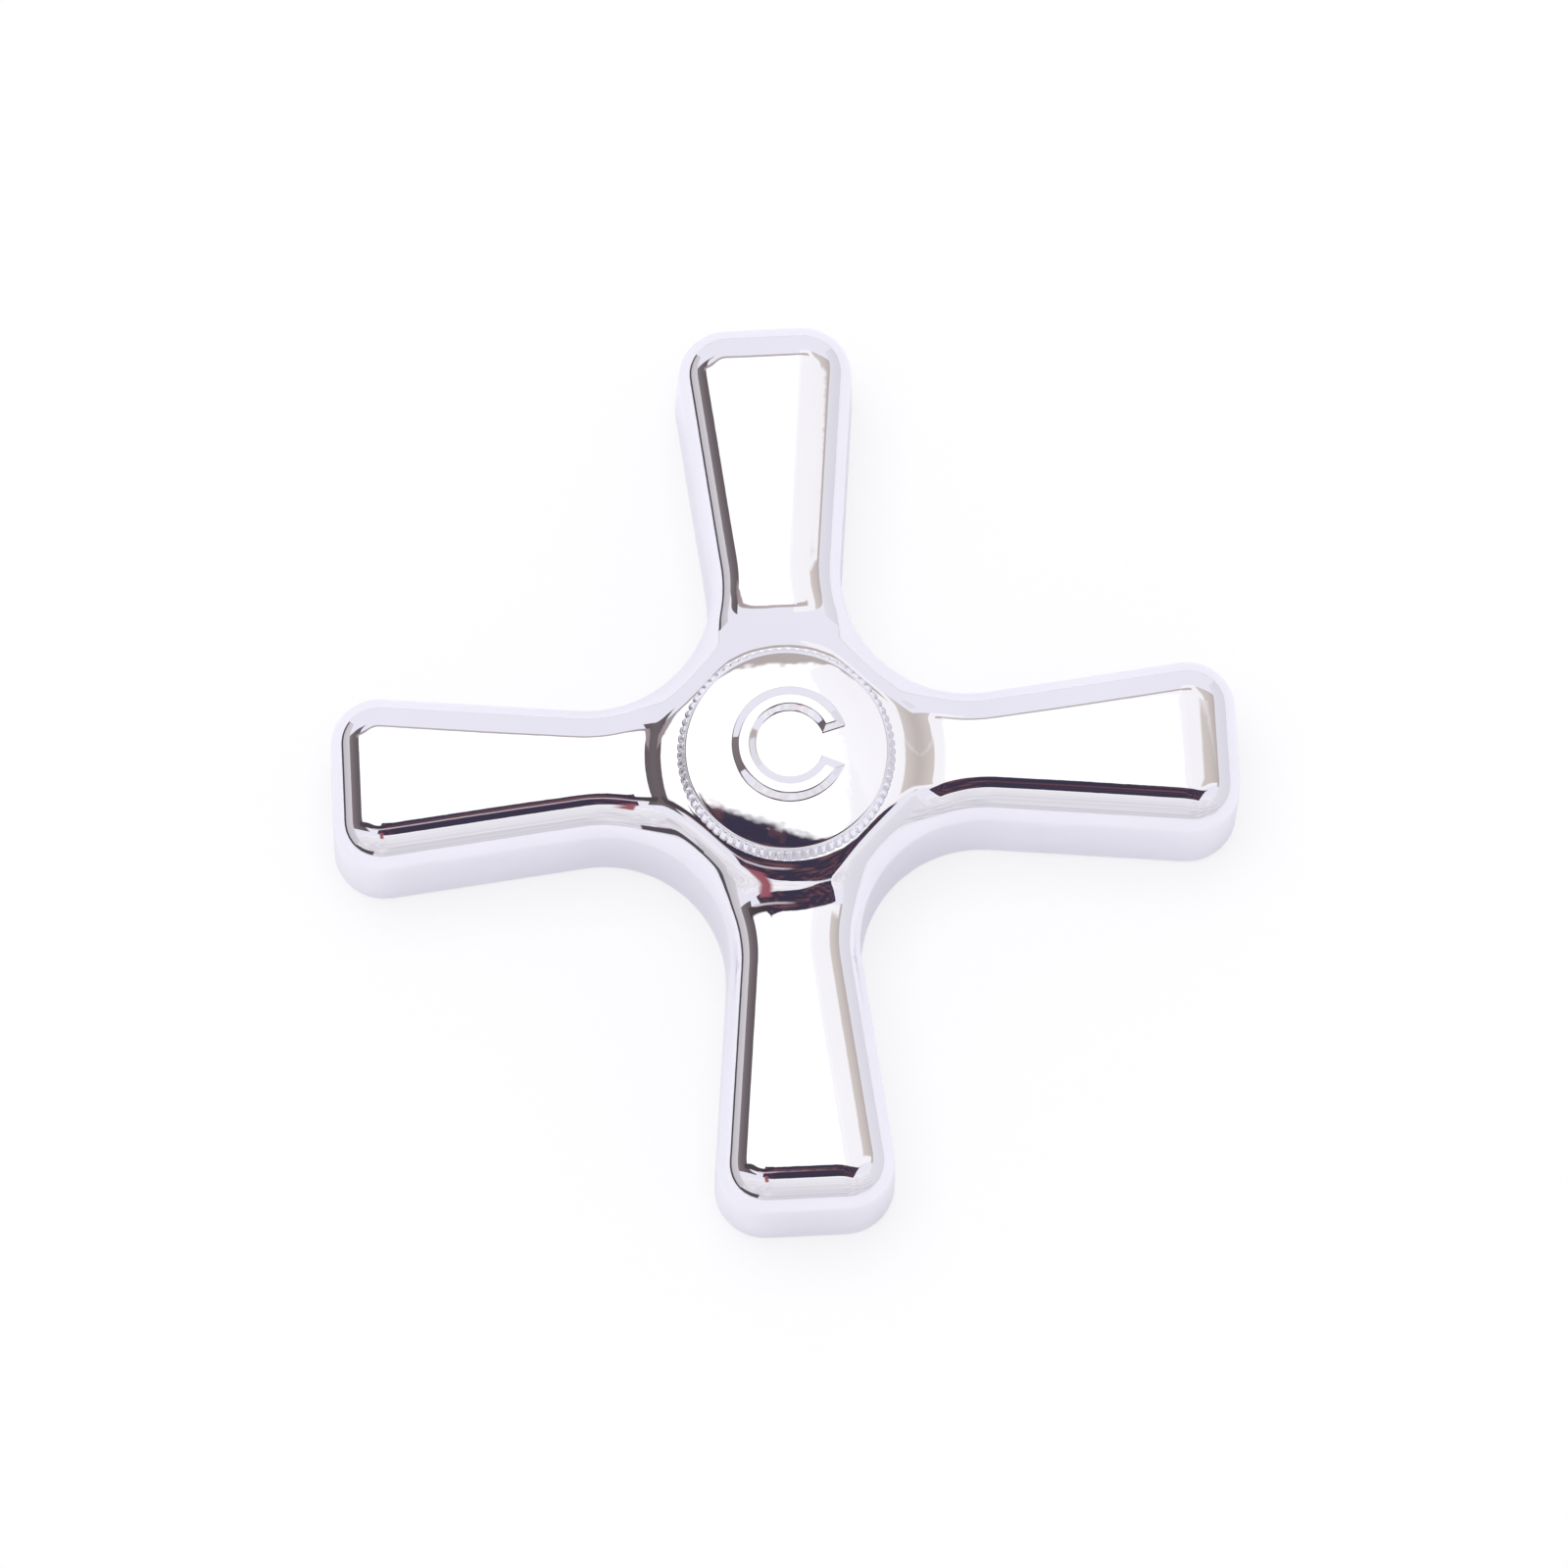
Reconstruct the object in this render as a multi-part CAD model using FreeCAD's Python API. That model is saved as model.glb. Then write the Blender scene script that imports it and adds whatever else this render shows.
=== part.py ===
"""Four-arm tap handle: a cast cross body, the index cap on its hub and the screw below the cap.

The handle stands on its flat underside. The origin is on the spindle axis in that plane, +Z points
up through the cap, and the arms lie along X and Y. All sizes are in millimetres.
"""
import FreeCAD, Part
import math
import os

# Cross body
SPAN = 70.0
TIP_WIDTH = 14.6
SIDE_TAPER_DEG = 6.2
TIP_CORNER_RADIUS = 3.9
WEB_RADIUS = 9.4
ARM_HEIGHT = 12.4
TOP_EDGE_RADIUS = 2.7
BOTTOM_EDGE_RADIUS = 0.7
ARM_COUNT = 4

# Raised hub, which slopes up from the arms to the cap's seat
HUB_RISE = 0.85
HUB_SLOPE_RUN = 3.8

# Index cap: beaded band, rounded lip, shallow dome and the plug that holds it in the hub
CAP_RADIUS = 8.45
CAP_OVERHANG = 0.1
BEAD_COUNT = 76
BEAD_DEPTH = 0.22
BAND_HEIGHT = 0.95
BAND_LEAN = 0.35
LIP_RADIUS = 0.35
DOME_RISE = 0.6
SEAT_WIDTH = 1.4
PLUG_CLEARANCE = 0.04
PLUG_WALL = 1.1
PLUG_DEPTH = 2.2
SHELL_THICKNESS = 1.2
CAP_TURN_DEG = -4.0

# Raised index letter, a broad C with sloping sides
LETTER_OUTER_RADIUS = 4.45
LETTER_INNER_RADIUS = 2.6
LETTER_SIDE_RUN = 0.55
LETTER_HEIGHT = 0.32
LETTER_GAP_DEG = 40.0
LETTER_SHIFT_X = 0.25
LETTER_SHIFT_Y = 0.4

# Fixing screw, a slotted cheese-head machine screw
SCREW_RADIUS = 2.5
SCREW_LENGTH = 8.0
SCREW_HOLE_CLEARANCE = 0.25
SCREW_TIP_CHAMFER = 0.6
HEAD_RADIUS = 4.5
HEAD_HEIGHT = 2.2
HEAD_EDGE_RADIUS = 0.5
SLOT_WIDTH = 1.3
SLOT_DEPTH = 1.0

# Spindle socket: serrations above a plain pilot bore, and the seat that the screw pulls down on
SEAT_THICKNESS = 2.0
RECESS_END_GAP = 0.4
SERRATION_COUNT = 20
SERRATION_ROOT_RADIUS = 4.05
SERRATION_TIP_RADIUS = 3.6
PILOT_STEP = 0.55
PILOT_DEPTH = 2.4
MOUTH_CHAMFER = 0.3

# Least stretch of top face left beside a rounded edge
EDGE_LAND = 0.1

# Places that follow from the sizes above
AXIS = FreeCAD.Vector(0, 0, 1)
ORIGIN = FreeCAD.Vector(0, 0, 0)
HUB_RIM_RADIUS = CAP_RADIUS - CAP_OVERHANG
HUB_FOOT_RADIUS = HUB_RIM_RADIUS + HUB_SLOPE_RUN
HUB_TOP = ARM_HEIGHT + HUB_RISE
RECESS_RADIUS = CAP_RADIUS - SEAT_WIDTH
RECESS_FLOOR = HUB_TOP - PLUG_DEPTH - RECESS_END_GAP
SOCKET_TOP = RECESS_FLOOR - SEAT_THICKNESS
PILOT_RADIUS = SERRATION_ROOT_RADIUS + PILOT_STEP
LIP_FOOT = HUB_TOP + BAND_HEIGHT
DOME_EDGE = LIP_FOOT + LIP_RADIUS
DOME_EDGE_RADIUS = CAP_RADIUS - BAND_LEAN - LIP_RADIUS
DOME_RADIUS = (DOME_EDGE_RADIUS ** 2 + DOME_RISE ** 2) / (2 * DOME_RISE)


def point(x, y, z=0.0):
    """A point in the handle's frame."""
    return FreeCAD.Vector(x, y, z)


def line(start, end):
    """A straight edge."""
    return Part.LineSegment(start, end).toShape()


def arc(start, middle, end):
    """A circular edge through three points."""
    return Part.Arc(start, middle, end).toShape()


def turned(edges_or_faces):
    """The solid that a closed profile in the XZ plane sweeps about the spindle axis."""
    return Part.Face(Part.Wire(edges_or_faces)).revolve(ORIGIN, AXIS, 360)


def polygon_profile(corners):
    """Edges of a closed profile in the XZ plane, from (radius, height) corners."""
    points = [point(radius, 0, height) for radius, height in corners]
    return [line(start, end) for start, end in zip(points, points[1:] + points[:1])]


def star_wire(outer_radius, inner_radius, count, height):
    """A closed zigzag of evenly spaced points about the axis, at one height."""
    points = []
    for index in range(2 * count):
        radius = outer_radius if index % 2 == 0 else inner_radius
        angle = math.pi * index / count
        points.append(point(radius * math.cos(angle), radius * math.sin(angle), height))
    return Part.makePolygon(points + points[:1])


class CrossOutline:
    """Plan of the cross: tapered arm sides, rounded tips and round webs between the arms."""

    def __init__(self):
        taper = math.radians(SIDE_TAPER_DEG)
        slope = math.tan(taper)
        reach = SPAN / 2
        half_tip = TIP_WIDTH / 2
        # The web's centre is on the diagonal, one web radius from the arm's side
        self.web_centre = (WEB_RADIUS / math.cos(taper) + half_tip - reach * slope) / (1 - slope)
        self.neck = point(self.web_centre + WEB_RADIUS * math.sin(taper),
                          self.web_centre - WEB_RADIUS * math.cos(taper))
        web = self.web_centre - WEB_RADIUS * math.sqrt(0.5)
        self.web_middle = point(web, web)
        self.web_reach = web * math.sqrt(2)
        # The corner's centre is one corner radius from the arm's end and from its side
        corner_x = reach - TIP_CORNER_RADIUS
        corner_y = half_tip - slope * TIP_CORNER_RADIUS - TIP_CORNER_RADIUS / math.cos(taper)
        middle = math.radians(45 + SIDE_TAPER_DEG / 2)
        self.tip_end = point(reach, corner_y)
        self.tip_middle = point(corner_x + TIP_CORNER_RADIUS * math.cos(middle),
                                corner_y + TIP_CORNER_RADIUS * math.sin(middle))
        self.tip_side = point(corner_x - TIP_CORNER_RADIUS * math.sin(taper),
                              corner_y + TIP_CORNER_RADIUS * math.cos(taper))

    def wire(self):
        """The closed outline, from one arm's edges turned round the axis."""
        def below(corner):
            return point(corner.x, -corner.y)

        def across(corner):
            return point(corner.y, corner.x)

        arm = [
            arc(below(self.tip_side), below(self.tip_middle), below(self.tip_end)),
            line(below(self.tip_end), self.tip_end),
            arc(self.tip_end, self.tip_middle, self.tip_side),
            line(self.tip_side, self.neck),
            arc(self.neck, self.web_middle, across(self.neck)),
            line(across(self.neck), across(self.tip_side)),
        ]
        edges = []
        for index in range(ARM_COUNT):
            for edge in arm:
                copy = edge.copy()
                copy.rotate(ORIGIN, AXIS, index * 360 / ARM_COUNT)
                edges.append(copy)
        return Part.Wire(Part.__sortEdges__(edges))


def top_envelope():
    """Everything below the top surface: flat over the arms, rising in an S to the hub's rim."""
    bend = (HUB_SLOPE_RUN ** 2 + HUB_RISE ** 2) / (4 * HUB_RISE)
    half_turn = math.atan(HUB_RISE / HUB_SLOPE_RUN)
    outside = point(SPAN, 0, ARM_HEIGHT)
    foot = point(HUB_FOOT_RADIUS, 0, ARM_HEIGHT)
    rim = point(HUB_RIM_RADIUS, 0, HUB_TOP)
    middle = (foot + rim) * 0.5
    sideways = bend * math.sin(half_turn)
    sag = bend * (1 - math.cos(half_turn))
    return turned([
        line(ORIGIN, point(SPAN, 0)),
        line(point(SPAN, 0), outside),
        line(outside, foot),
        arc(foot, foot + point(-sideways, 0, sag), middle),
        arc(middle, rim + point(sideways, 0, -sag), rim),
        line(rim, point(0, 0, HUB_TOP)),
        line(point(0, 0, HUB_TOP), ORIGIN),
    ])


def is_wall(face):
    """True for a face that stands upright."""
    first_u, last_u, first_v, last_v = face.ParameterRange
    normal = face.normalAt((first_u + last_u) / 2, (first_v + last_v) / 2)
    return abs(normal.z) < 0.01


def wall_edges(solid, lowest, highest):
    """Edges between two heights that border an upright face on one side only."""
    chosen = []
    for edge in solid.Edges:
        if edge.BoundBox.ZMin < lowest or edge.BoundBox.ZMax > highest:
            continue
        walls = [is_wall(face) for face in solid.ancestorsOfType(edge, Part.Face)]
        if walls.count(True) == 1:
            chosen.append(edge)
    return chosen


def spindle_socket():
    """The space that the spindle fills: chamfered mouth, pilot bore and serrations."""
    pilot = Part.makeCylinder(PILOT_RADIUS, PILOT_DEPTH)
    mouth = Part.makeCone(PILOT_RADIUS + MOUTH_CHAMFER, PILOT_RADIUS, MOUTH_CHAMFER)
    serrations = Part.Face(star_wire(SERRATION_ROOT_RADIUS, SERRATION_TIP_RADIUS, SERRATION_COUNT, 0))
    return pilot.fuse([mouth, serrations.extrude(AXIS * SOCKET_TOP)])


def handle_body():
    """The one-piece casting: cross and hub, hollowed for the cap, the screw and the spindle."""
    outline = CrossOutline()
    prism = Part.Face(outline.wire()).extrude(AXIS * HUB_TOP)
    cross = prism.common(top_envelope()).removeSplitter()
    top_round = min(TOP_EDGE_RADIUS,
                    TIP_CORNER_RADIUS - EDGE_LAND,
                    outline.web_reach - HUB_RIM_RADIUS - EDGE_LAND)
    tolerance = BOTTOM_EDGE_RADIUS / 10
    cross = cross.makeFillet(top_round, wall_edges(cross, ARM_HEIGHT - tolerance, HUB_TOP + tolerance))
    cross = cross.makeFillet(BOTTOM_EDGE_RADIUS, wall_edges(cross, -tolerance, tolerance))
    recess = Part.makeCylinder(RECESS_RADIUS, HUB_TOP - RECESS_FLOOR, point(0, 0, RECESS_FLOOR))
    screw_hole = Part.makeCylinder(SCREW_RADIUS + SCREW_HOLE_CLEARANCE, HUB_TOP)
    return cross.cut([recess, screw_hole, spindle_socket()])


def dome_height(radius):
    """Height of the cap's dome at a distance from its axis."""
    return DOME_EDGE + DOME_RISE - DOME_RADIUS + math.sqrt(DOME_RADIUS ** 2 - radius ** 2)


def cap_shell():
    """The cap without its beads and letter: dome, lip and seat, with a hollow plug below."""
    plug_radius = RECESS_RADIUS - PLUG_CLEARANCE
    hollow_radius = plug_radius - PLUG_WALL
    plug_end = HUB_TOP - PLUG_DEPTH
    ceiling = DOME_EDGE - SHELL_THICKNESS
    core_radius = CAP_RADIUS - BEAD_DEPTH - BAND_LEAN
    lip_radius = DOME_EDGE_RADIUS + LIP_RADIUS
    half = math.sqrt(0.5) * LIP_RADIUS
    apex = point(0, 0, dome_height(0))
    dome_edge = point(DOME_EDGE_RADIUS, 0, DOME_EDGE)
    lip_side = point(lip_radius, 0, LIP_FOOT)
    corners = [
        point(core_radius, 0, LIP_FOOT),
        point(core_radius, 0, HUB_TOP),
        point(plug_radius, 0, HUB_TOP),
        point(plug_radius, 0, plug_end),
        point(hollow_radius, 0, plug_end),
        point(hollow_radius, 0, ceiling),
        point(0, 0, ceiling),
        apex,
    ]
    dome_middle = DOME_EDGE_RADIUS / 2
    edges = [
        arc(apex, point(dome_middle, 0, dome_height(dome_middle)), dome_edge),
        arc(dome_edge, point(DOME_EDGE_RADIUS + half, 0, LIP_FOOT + half), lip_side),
        line(lip_side, corners[0]),
    ]
    edges += [line(start, end) for start, end in zip(corners, corners[1:])]
    return turned(edges)


def beaded_band():
    """The leaning ring of small upright beads between the cap's seat and its lip."""
    foot = star_wire(CAP_RADIUS, CAP_RADIUS - BEAD_DEPTH, BEAD_COUNT, HUB_TOP)
    head_radius = CAP_RADIUS - BAND_LEAN
    head = star_wire(head_radius, head_radius - BEAD_DEPTH, BEAD_COUNT, LIP_FOOT)
    band = Part.makeLoft([foot, head], True, True)
    return band.cut(Part.makeCylinder(RECESS_RADIUS, BAND_HEIGHT, point(0, 0, HUB_TOP)))


def index_letter():
    """The raised C: a sloping-sided ring on the dome, open towards +X."""
    inner_top = LETTER_INNER_RADIUS + LETTER_SIDE_RUN
    outer_top = LETTER_OUTER_RADIUS - LETTER_SIDE_RUN
    root = dome_height(LETTER_OUTER_RADIUS) - SHELL_THICKNESS / 2
    section = polygon_profile([
        (LETTER_INNER_RADIUS, root),
        (LETTER_OUTER_RADIUS, root),
        (LETTER_OUTER_RADIUS, dome_height(LETTER_OUTER_RADIUS)),
        (outer_top, dome_height(outer_top) + LETTER_HEIGHT),
        (inner_top, dome_height(inner_top) + LETTER_HEIGHT),
        (LETTER_INNER_RADIUS, dome_height(LETTER_INNER_RADIUS)),
    ])
    letter = Part.Face(Part.Wire(section)).revolve(ORIGIN, AXIS, 360 - LETTER_GAP_DEG)
    letter.rotate(ORIGIN, AXIS, LETTER_GAP_DEG / 2)
    letter.translate(point(LETTER_SHIFT_X, LETTER_SHIFT_Y))
    return letter


def index_cap():
    """The whole cap, as one moulding, turned a little from the arms as it was pushed in."""
    cap = cap_shell().fuse([beaded_band(), index_letter()]).removeSplitter()
    cap.rotate(ORIGIN, AXIS, CAP_TURN_DEG)
    return cap


def fixing_screw():
    """The slotted screw, its head down on the recess floor and its shank in the socket."""
    head_top = RECESS_FLOOR + HEAD_HEIGHT
    tip = RECESS_FLOOR - SCREW_LENGTH
    half = HEAD_EDGE_RADIUS * (1 - math.sqrt(0.5))
    corners = [
        point(HEAD_RADIUS, 0, head_top - HEAD_EDGE_RADIUS),
        point(HEAD_RADIUS, 0, RECESS_FLOOR),
        point(SCREW_RADIUS, 0, RECESS_FLOOR),
        point(SCREW_RADIUS, 0, tip + SCREW_TIP_CHAMFER),
        point(SCREW_RADIUS - SCREW_TIP_CHAMFER, 0, tip),
        point(0, 0, tip),
        point(0, 0, head_top),
        point(HEAD_RADIUS - HEAD_EDGE_RADIUS, 0, head_top),
    ]
    edges = [line(start, end) for start, end in zip(corners, corners[1:])]
    edges.append(arc(corners[-1], point(HEAD_RADIUS - half, 0, head_top - half), corners[0]))
    slot = Part.makeBox(2 * HEAD_RADIUS, SLOT_WIDTH, SLOT_DEPTH,
                        point(-HEAD_RADIUS, -SLOT_WIDTH / 2, head_top - SLOT_DEPTH))
    return turned(edges).cut(slot)


def main():
    """Write each piece to its own file."""
    os.makedirs("parts", exist_ok=True)
    pieces = {
        "handle_body": handle_body(),
        "index_cap": index_cap(),
        "fixing_screw": fixing_screw(),
    }
    for name, shape in pieces.items():
        solids = shape.Solids
        print(name, "solids", len(solids), "valid", shape.isValid(), "volume", round(shape.Volume, 2))
        shape.exportStep(f"parts/{name}.step")


main()
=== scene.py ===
"""Looks of a four-arm chrome tap handle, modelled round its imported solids.

Each piece is modelled in millimetres at its own place and brought to metres once it is finished.
"""
import logging
import math
from dataclasses import dataclass
from enum import Enum
from typing import Callable

import bmesh
import bpy
from mathutils import Matrix, Vector


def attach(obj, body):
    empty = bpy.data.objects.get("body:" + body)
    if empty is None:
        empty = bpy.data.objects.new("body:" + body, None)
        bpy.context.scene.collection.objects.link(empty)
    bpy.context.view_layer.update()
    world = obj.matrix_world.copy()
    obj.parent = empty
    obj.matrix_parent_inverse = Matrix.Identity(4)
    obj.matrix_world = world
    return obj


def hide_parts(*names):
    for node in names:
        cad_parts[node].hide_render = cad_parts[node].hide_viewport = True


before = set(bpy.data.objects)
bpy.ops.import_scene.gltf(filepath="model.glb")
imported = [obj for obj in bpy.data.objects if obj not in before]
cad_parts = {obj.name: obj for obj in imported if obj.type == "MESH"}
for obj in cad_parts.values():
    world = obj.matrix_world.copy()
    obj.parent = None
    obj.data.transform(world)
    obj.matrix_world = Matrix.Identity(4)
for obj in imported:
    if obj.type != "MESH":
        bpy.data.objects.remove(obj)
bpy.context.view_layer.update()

LOG = logging.getLogger("tap_handle")
METRES_PER_MM = 0.001
# Slack when places are compared, and the widest gap that is welded, in millimetres
NEAR = 0.001
WELD_GAP = 0.0005
BODY = "root"

Test = Callable[[Vector], bool]
Colour = tuple[float, float, float]
Span = tuple[float, float]

WHITE: Colour = (1.0, 1.0, 1.0)


def smooth_step(value: float, low: float, high: float) -> float:
    """Ease from 0 at low to 1 at high.

    Args:
        value: Where to read the step.
        low: Where the step leaves 0.
        high: Where the step reaches 1.

    Returns:
        The eased share, from 0 to 1.
    """
    share = min(max((value - low) / (high - low), 0.0), 1.0)
    return share * share * (3 - 2 * share)


def within_tooth(turn: float) -> float:
    """Place within one of a row of teeth, from -1 to 1."""
    return 2 * (turn - math.floor(turn)) - 1


def set_radius(vert: bmesh.types.BMVert, radius: float) -> None:
    """Slide a vertex to a distance from the spindle axis, at its own height."""
    vert.co.x, vert.co.y = vert.co.xy.normalized() * radius


class Bench:
    """One mesh on the workbench, in edit mode, with the tools that shape it."""

    def __init__(self, name: str) -> None:
        """Start an empty mesh and open it for editing.

        Args:
            name: The finished piece's name.
        """
        bpy.ops.object.select_all(action="DESELECT")
        bpy.ops.mesh.primitive_plane_add(size=1.0)
        self.piece: bpy.types.Object = bpy.context.object
        self.piece.name = name
        self.piece.data.name = name
        bpy.ops.object.mode_set(mode="EDIT")
        bpy.ops.mesh.select_all(action="SELECT")
        bpy.ops.mesh.delete(type="VERT")

    def cage(self) -> bmesh.types.BMesh:
        """The mesh under edit."""
        return bmesh.from_edit_mesh(self.piece.data)

    def update(self) -> None:
        """Show changes made to the cage in code."""
        bmesh.update_edit_mesh(self.piece.data)

    def clear(self) -> None:
        """Deselect everything."""
        bpy.ops.mesh.select_all(action="DESELECT")

    def pick_rim(self, test: Test) -> None:
        """Select the open edges that pass a test, and nothing else.

        Args:
            test: Says whether an open edge with this middle is picked.
        """
        bpy.ops.mesh.select_mode(type="EDGE")
        self.clear()
        cage = self.cage()
        for edge in cage.edges:
            middle = (edge.verts[0].co + edge.verts[1].co) / 2
            if len(edge.link_faces) < 2 and test(middle):
                edge.select_set(True)
        cage.select_flush_mode()
        self.update()

    def chosen(self) -> list[bmesh.types.BMVert]:
        """The vertices selected now."""
        return [vert for vert in self.cage().verts if vert.select]

    def draw(self, step: Vector) -> None:
        """Extrude the selection along a straight step."""
        bpy.ops.mesh.extrude_region_move(TRANSFORM_OT_translate={"value": step})

    def ring(self, radius: float, height: float, count: int) -> None:
        """Add a circle of edges about the spindle axis and select it.

        Args:
            radius: Its radius.
            height: Its height.
            count: How many vertices it has.
        """
        self.clear()
        bpy.ops.mesh.primitive_circle_add(vertices=count, radius=radius, location=(0, 0, height))

    def grow(self, radius: float, height: float) -> None:
        """Extrude the selected loop and set the new loop on a circle about the spindle axis.

        Args:
            radius: The new loop's radius.
            height: The new loop's height.
        """
        bpy.ops.mesh.extrude_region_move()
        for vert in self.chosen():
            flat = Vector((vert.co.x, vert.co.y, 0)).normalized() * radius
            vert.co = (flat.x, flat.y, height)
        self.update()

    def lathe(self, profile: list[tuple[float, float]]) -> None:
        """Grow the selected loop through a row of circles.

        Args:
            profile: Radius and height of each circle, in order.
        """
        for radius, height in profile:
            self.grow(radius, height)

    def draw_shut(self) -> None:
        """Extrude the selected loop and draw it together in its middle."""
        bpy.ops.mesh.extrude_region_move()
        bpy.ops.mesh.merge(type="CENTER")

    def weld(self) -> None:
        """Merge vertices that share a place."""
        bpy.ops.mesh.select_all(action="SELECT")
        bpy.ops.mesh.remove_doubles(threshold=WELD_GAP)

    def face_out(self) -> None:
        """Turn every face outwards."""
        bpy.ops.mesh.select_all(action="SELECT")
        bpy.ops.mesh.normals_make_consistent(inside=False)

    def finish(self, smooth_degrees: float) -> bpy.types.Object:
        """Close the piece: face it outwards, smooth it and bring it to metres.

        Args:
            smooth_degrees: Edges that turn more than this stay sharp.

        Returns:
            The finished piece, at the origin.
        """
        self.face_out()
        bpy.ops.object.mode_set(mode="OBJECT")
        bpy.ops.object.select_all(action="DESELECT")
        self.piece.select_set(True)
        bpy.context.view_layer.objects.active = self.piece
        self.piece.scale = (METRES_PER_MM,) * 3
        bpy.ops.object.transform_apply(location=True, rotation=True, scale=True)
        bpy.ops.object.shade_smooth_by_angle(angle=math.radians(smooth_degrees))
        self.piece.select_set(False)
        return self.piece


class NodeBoard:
    """A node tree with short ways to add nodes and fill their sockets."""

    def __init__(self, tree: bpy.types.NodeTree) -> None:
        """Take a tree to work on.

        Args:
            tree: The tree of a material or of the world.
        """
        self.tree = tree

    def fill(self, node: bpy.types.Node, sockets: dict[str | int, object]) -> None:
        """Set or link a node's inputs.

        Args:
            node: The node to fill.
            sockets: A constant, or the output to link, for each input's name or place in line.
        """
        for name, value in sockets.items():
            if isinstance(value, bpy.types.NodeSocket):
                self.tree.links.new(value, node.inputs[name])
            else:
                node.inputs[name].default_value = value

    def add(self, kind: str, sockets: dict[str | int, object] | None = None,
            **settings: object) -> bpy.types.Node:
        """Add a node.

        Args:
            kind: The node's type, without its ShaderNode prefix.
            sockets: What its inputs get.
            settings: What its own properties get.

        Returns:
            The node.
        """
        node = self.tree.nodes.new("ShaderNode" + kind)
        for name, value in settings.items():
            setattr(node, name, value)
        self.fill(node, sockets or {})
        return node

    def math(self, operation: str, first: object, second: object) -> bpy.types.NodeSocket:
        """Work out one number from two.

        Args:
            operation: The Math node's operation.
            first: A number or an output.
            second: A number or an output.

        Returns:
            The result's output.
        """
        return self.add("Math", {0: first, 1: second}, operation=operation).outputs[0]

    def noise(self, place: bpy.types.NodeSocket, scale: float, detail: float) -> bpy.types.NodeSocket:
        """Read cloudy noise.

        Args:
            place: Where to read it.
            scale: Clouds per metre.
            detail: How many finer layers it has.

        Returns:
            The noise, about 0.5.
        """
        node = self.add("TexNoise", {"Vector": place, "Scale": scale, "Detail": detail})
        return node.outputs["Fac"]

    def spread(self, value: bpy.types.NodeSocket, source: Span, target: Span) -> bpy.types.NodeSocket:
        """Map a value's span to another, clamped.

        Args:
            value: What to map.
            source: Its own low and high.
            target: The low and high it gets.

        Returns:
            The mapped value.
        """
        node = self.add("MapRange", {"Value": value, "From Min": source[0], "From Max": source[1],
                                     "To Min": target[0], "To Max": target[1]})
        return node.outputs["Result"]

    def tint(self, share: bpy.types.NodeSocket, low: Colour, high: Colour) -> bpy.types.NodeSocket:
        """Blend two colours.

        Args:
            share: 0 for the low colour, 1 for the high one.
            low: The first colour.
            high: The second colour.

        Returns:
            The blend.
        """
        node = self.add("MixRGB", {"Fac": share, "Color1": (*low, 1), "Color2": (*high, 1)})
        return node.outputs["Color"]

    def ray_kinds(self) -> tuple[bpy.types.NodeSocket, bpy.types.NodeSocket]:
        """What sends the ray that arrives.

        Returns:
            1 for a ray from the camera, and 1 for a ray from a mirror or through glass.
        """
        rays = self.add("LightPath").outputs
        return rays["Is Camera Ray"], self.math("MAXIMUM", rays["Is Glossy Ray"], rays["Is Transmission Ray"])


@dataclass(frozen=True)
class PlateFinish:
    """Bright plate or bare metal: its tint and gloss drift a little, and its skin is faintly uneven."""

    name: str
    colour_low: Colour
    colour_high: Colour
    roughness: Span
    drift_scale: float = 90.0
    drift_detail: float = 3.0
    drift_span: Span = (0.35, 0.65)
    swell_scale: float = 110.0
    swell_detail: float = 0.0
    swell_height: float = 0.000012
    peel_scale: float = 1100.0
    peel_detail: float = 1.0
    peel_height: float = 0.000003

    def material(self) -> bpy.types.Material:
        """Build the finish as a node material.

        Returns:
            The material.
        """
        material = bpy.data.materials.new(self.name)
        material.use_nodes = True
        board = NodeBoard(material.node_tree)
        place = board.add("TexCoord").outputs["Object"]
        drift = board.noise(place, self.drift_scale, self.drift_detail)
        share = board.spread(drift, self.drift_span, (0.0, 1.0))
        swell = board.add("Bump", {"Height": board.noise(place, self.swell_scale, self.swell_detail),
                                   "Distance": self.swell_height})
        peel = board.add("Bump", {"Height": board.noise(place, self.peel_scale, self.peel_detail),
                                  "Distance": self.peel_height, "Normal": swell.outputs["Normal"]})
        shader = material.node_tree.nodes["Principled BSDF"]
        board.fill(shader, {"Base Color": board.tint(share, self.colour_low, self.colour_high),
                            "Metallic": 1.0,
                            "Roughness": board.spread(share, (0.0, 1.0), self.roughness),
                            "Normal": peel.outputs["Normal"]})
        return material


CHROME_TINTS = ((0.85, 0.845, 0.875), (0.875, 0.87, 0.9))
CHROME_ROUGHNESS = (0.02, 0.05)
BODY_CHROME = PlateFinish("body_chrome", *CHROME_TINTS, CHROME_ROUGHNESS)
CAP_CHROME = PlateFinish("cap_chrome", *CHROME_TINTS, CHROME_ROUGHNESS)
SCREW_BRASS = PlateFinish("screw_brass", (0.74, 0.57, 0.28), (0.82, 0.66, 0.36), (0.2, 0.34))


def dress(piece: bpy.types.Object, finish: PlateFinish, node: str) -> None:
    """Give a finished piece its material and its place in the frame.

    Args:
        piece: The piece.
        finish: Its finish, whose name the material takes.
        node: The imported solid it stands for.
    """
    piece.data.materials.clear()
    piece.data.materials.append(finish.material())
    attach(piece, BODY)
    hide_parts(node)
    LOG.info("%s stands for %s in %s, %d faces", piece.name, node, finish.name, len(piece.data.polygons))


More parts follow.
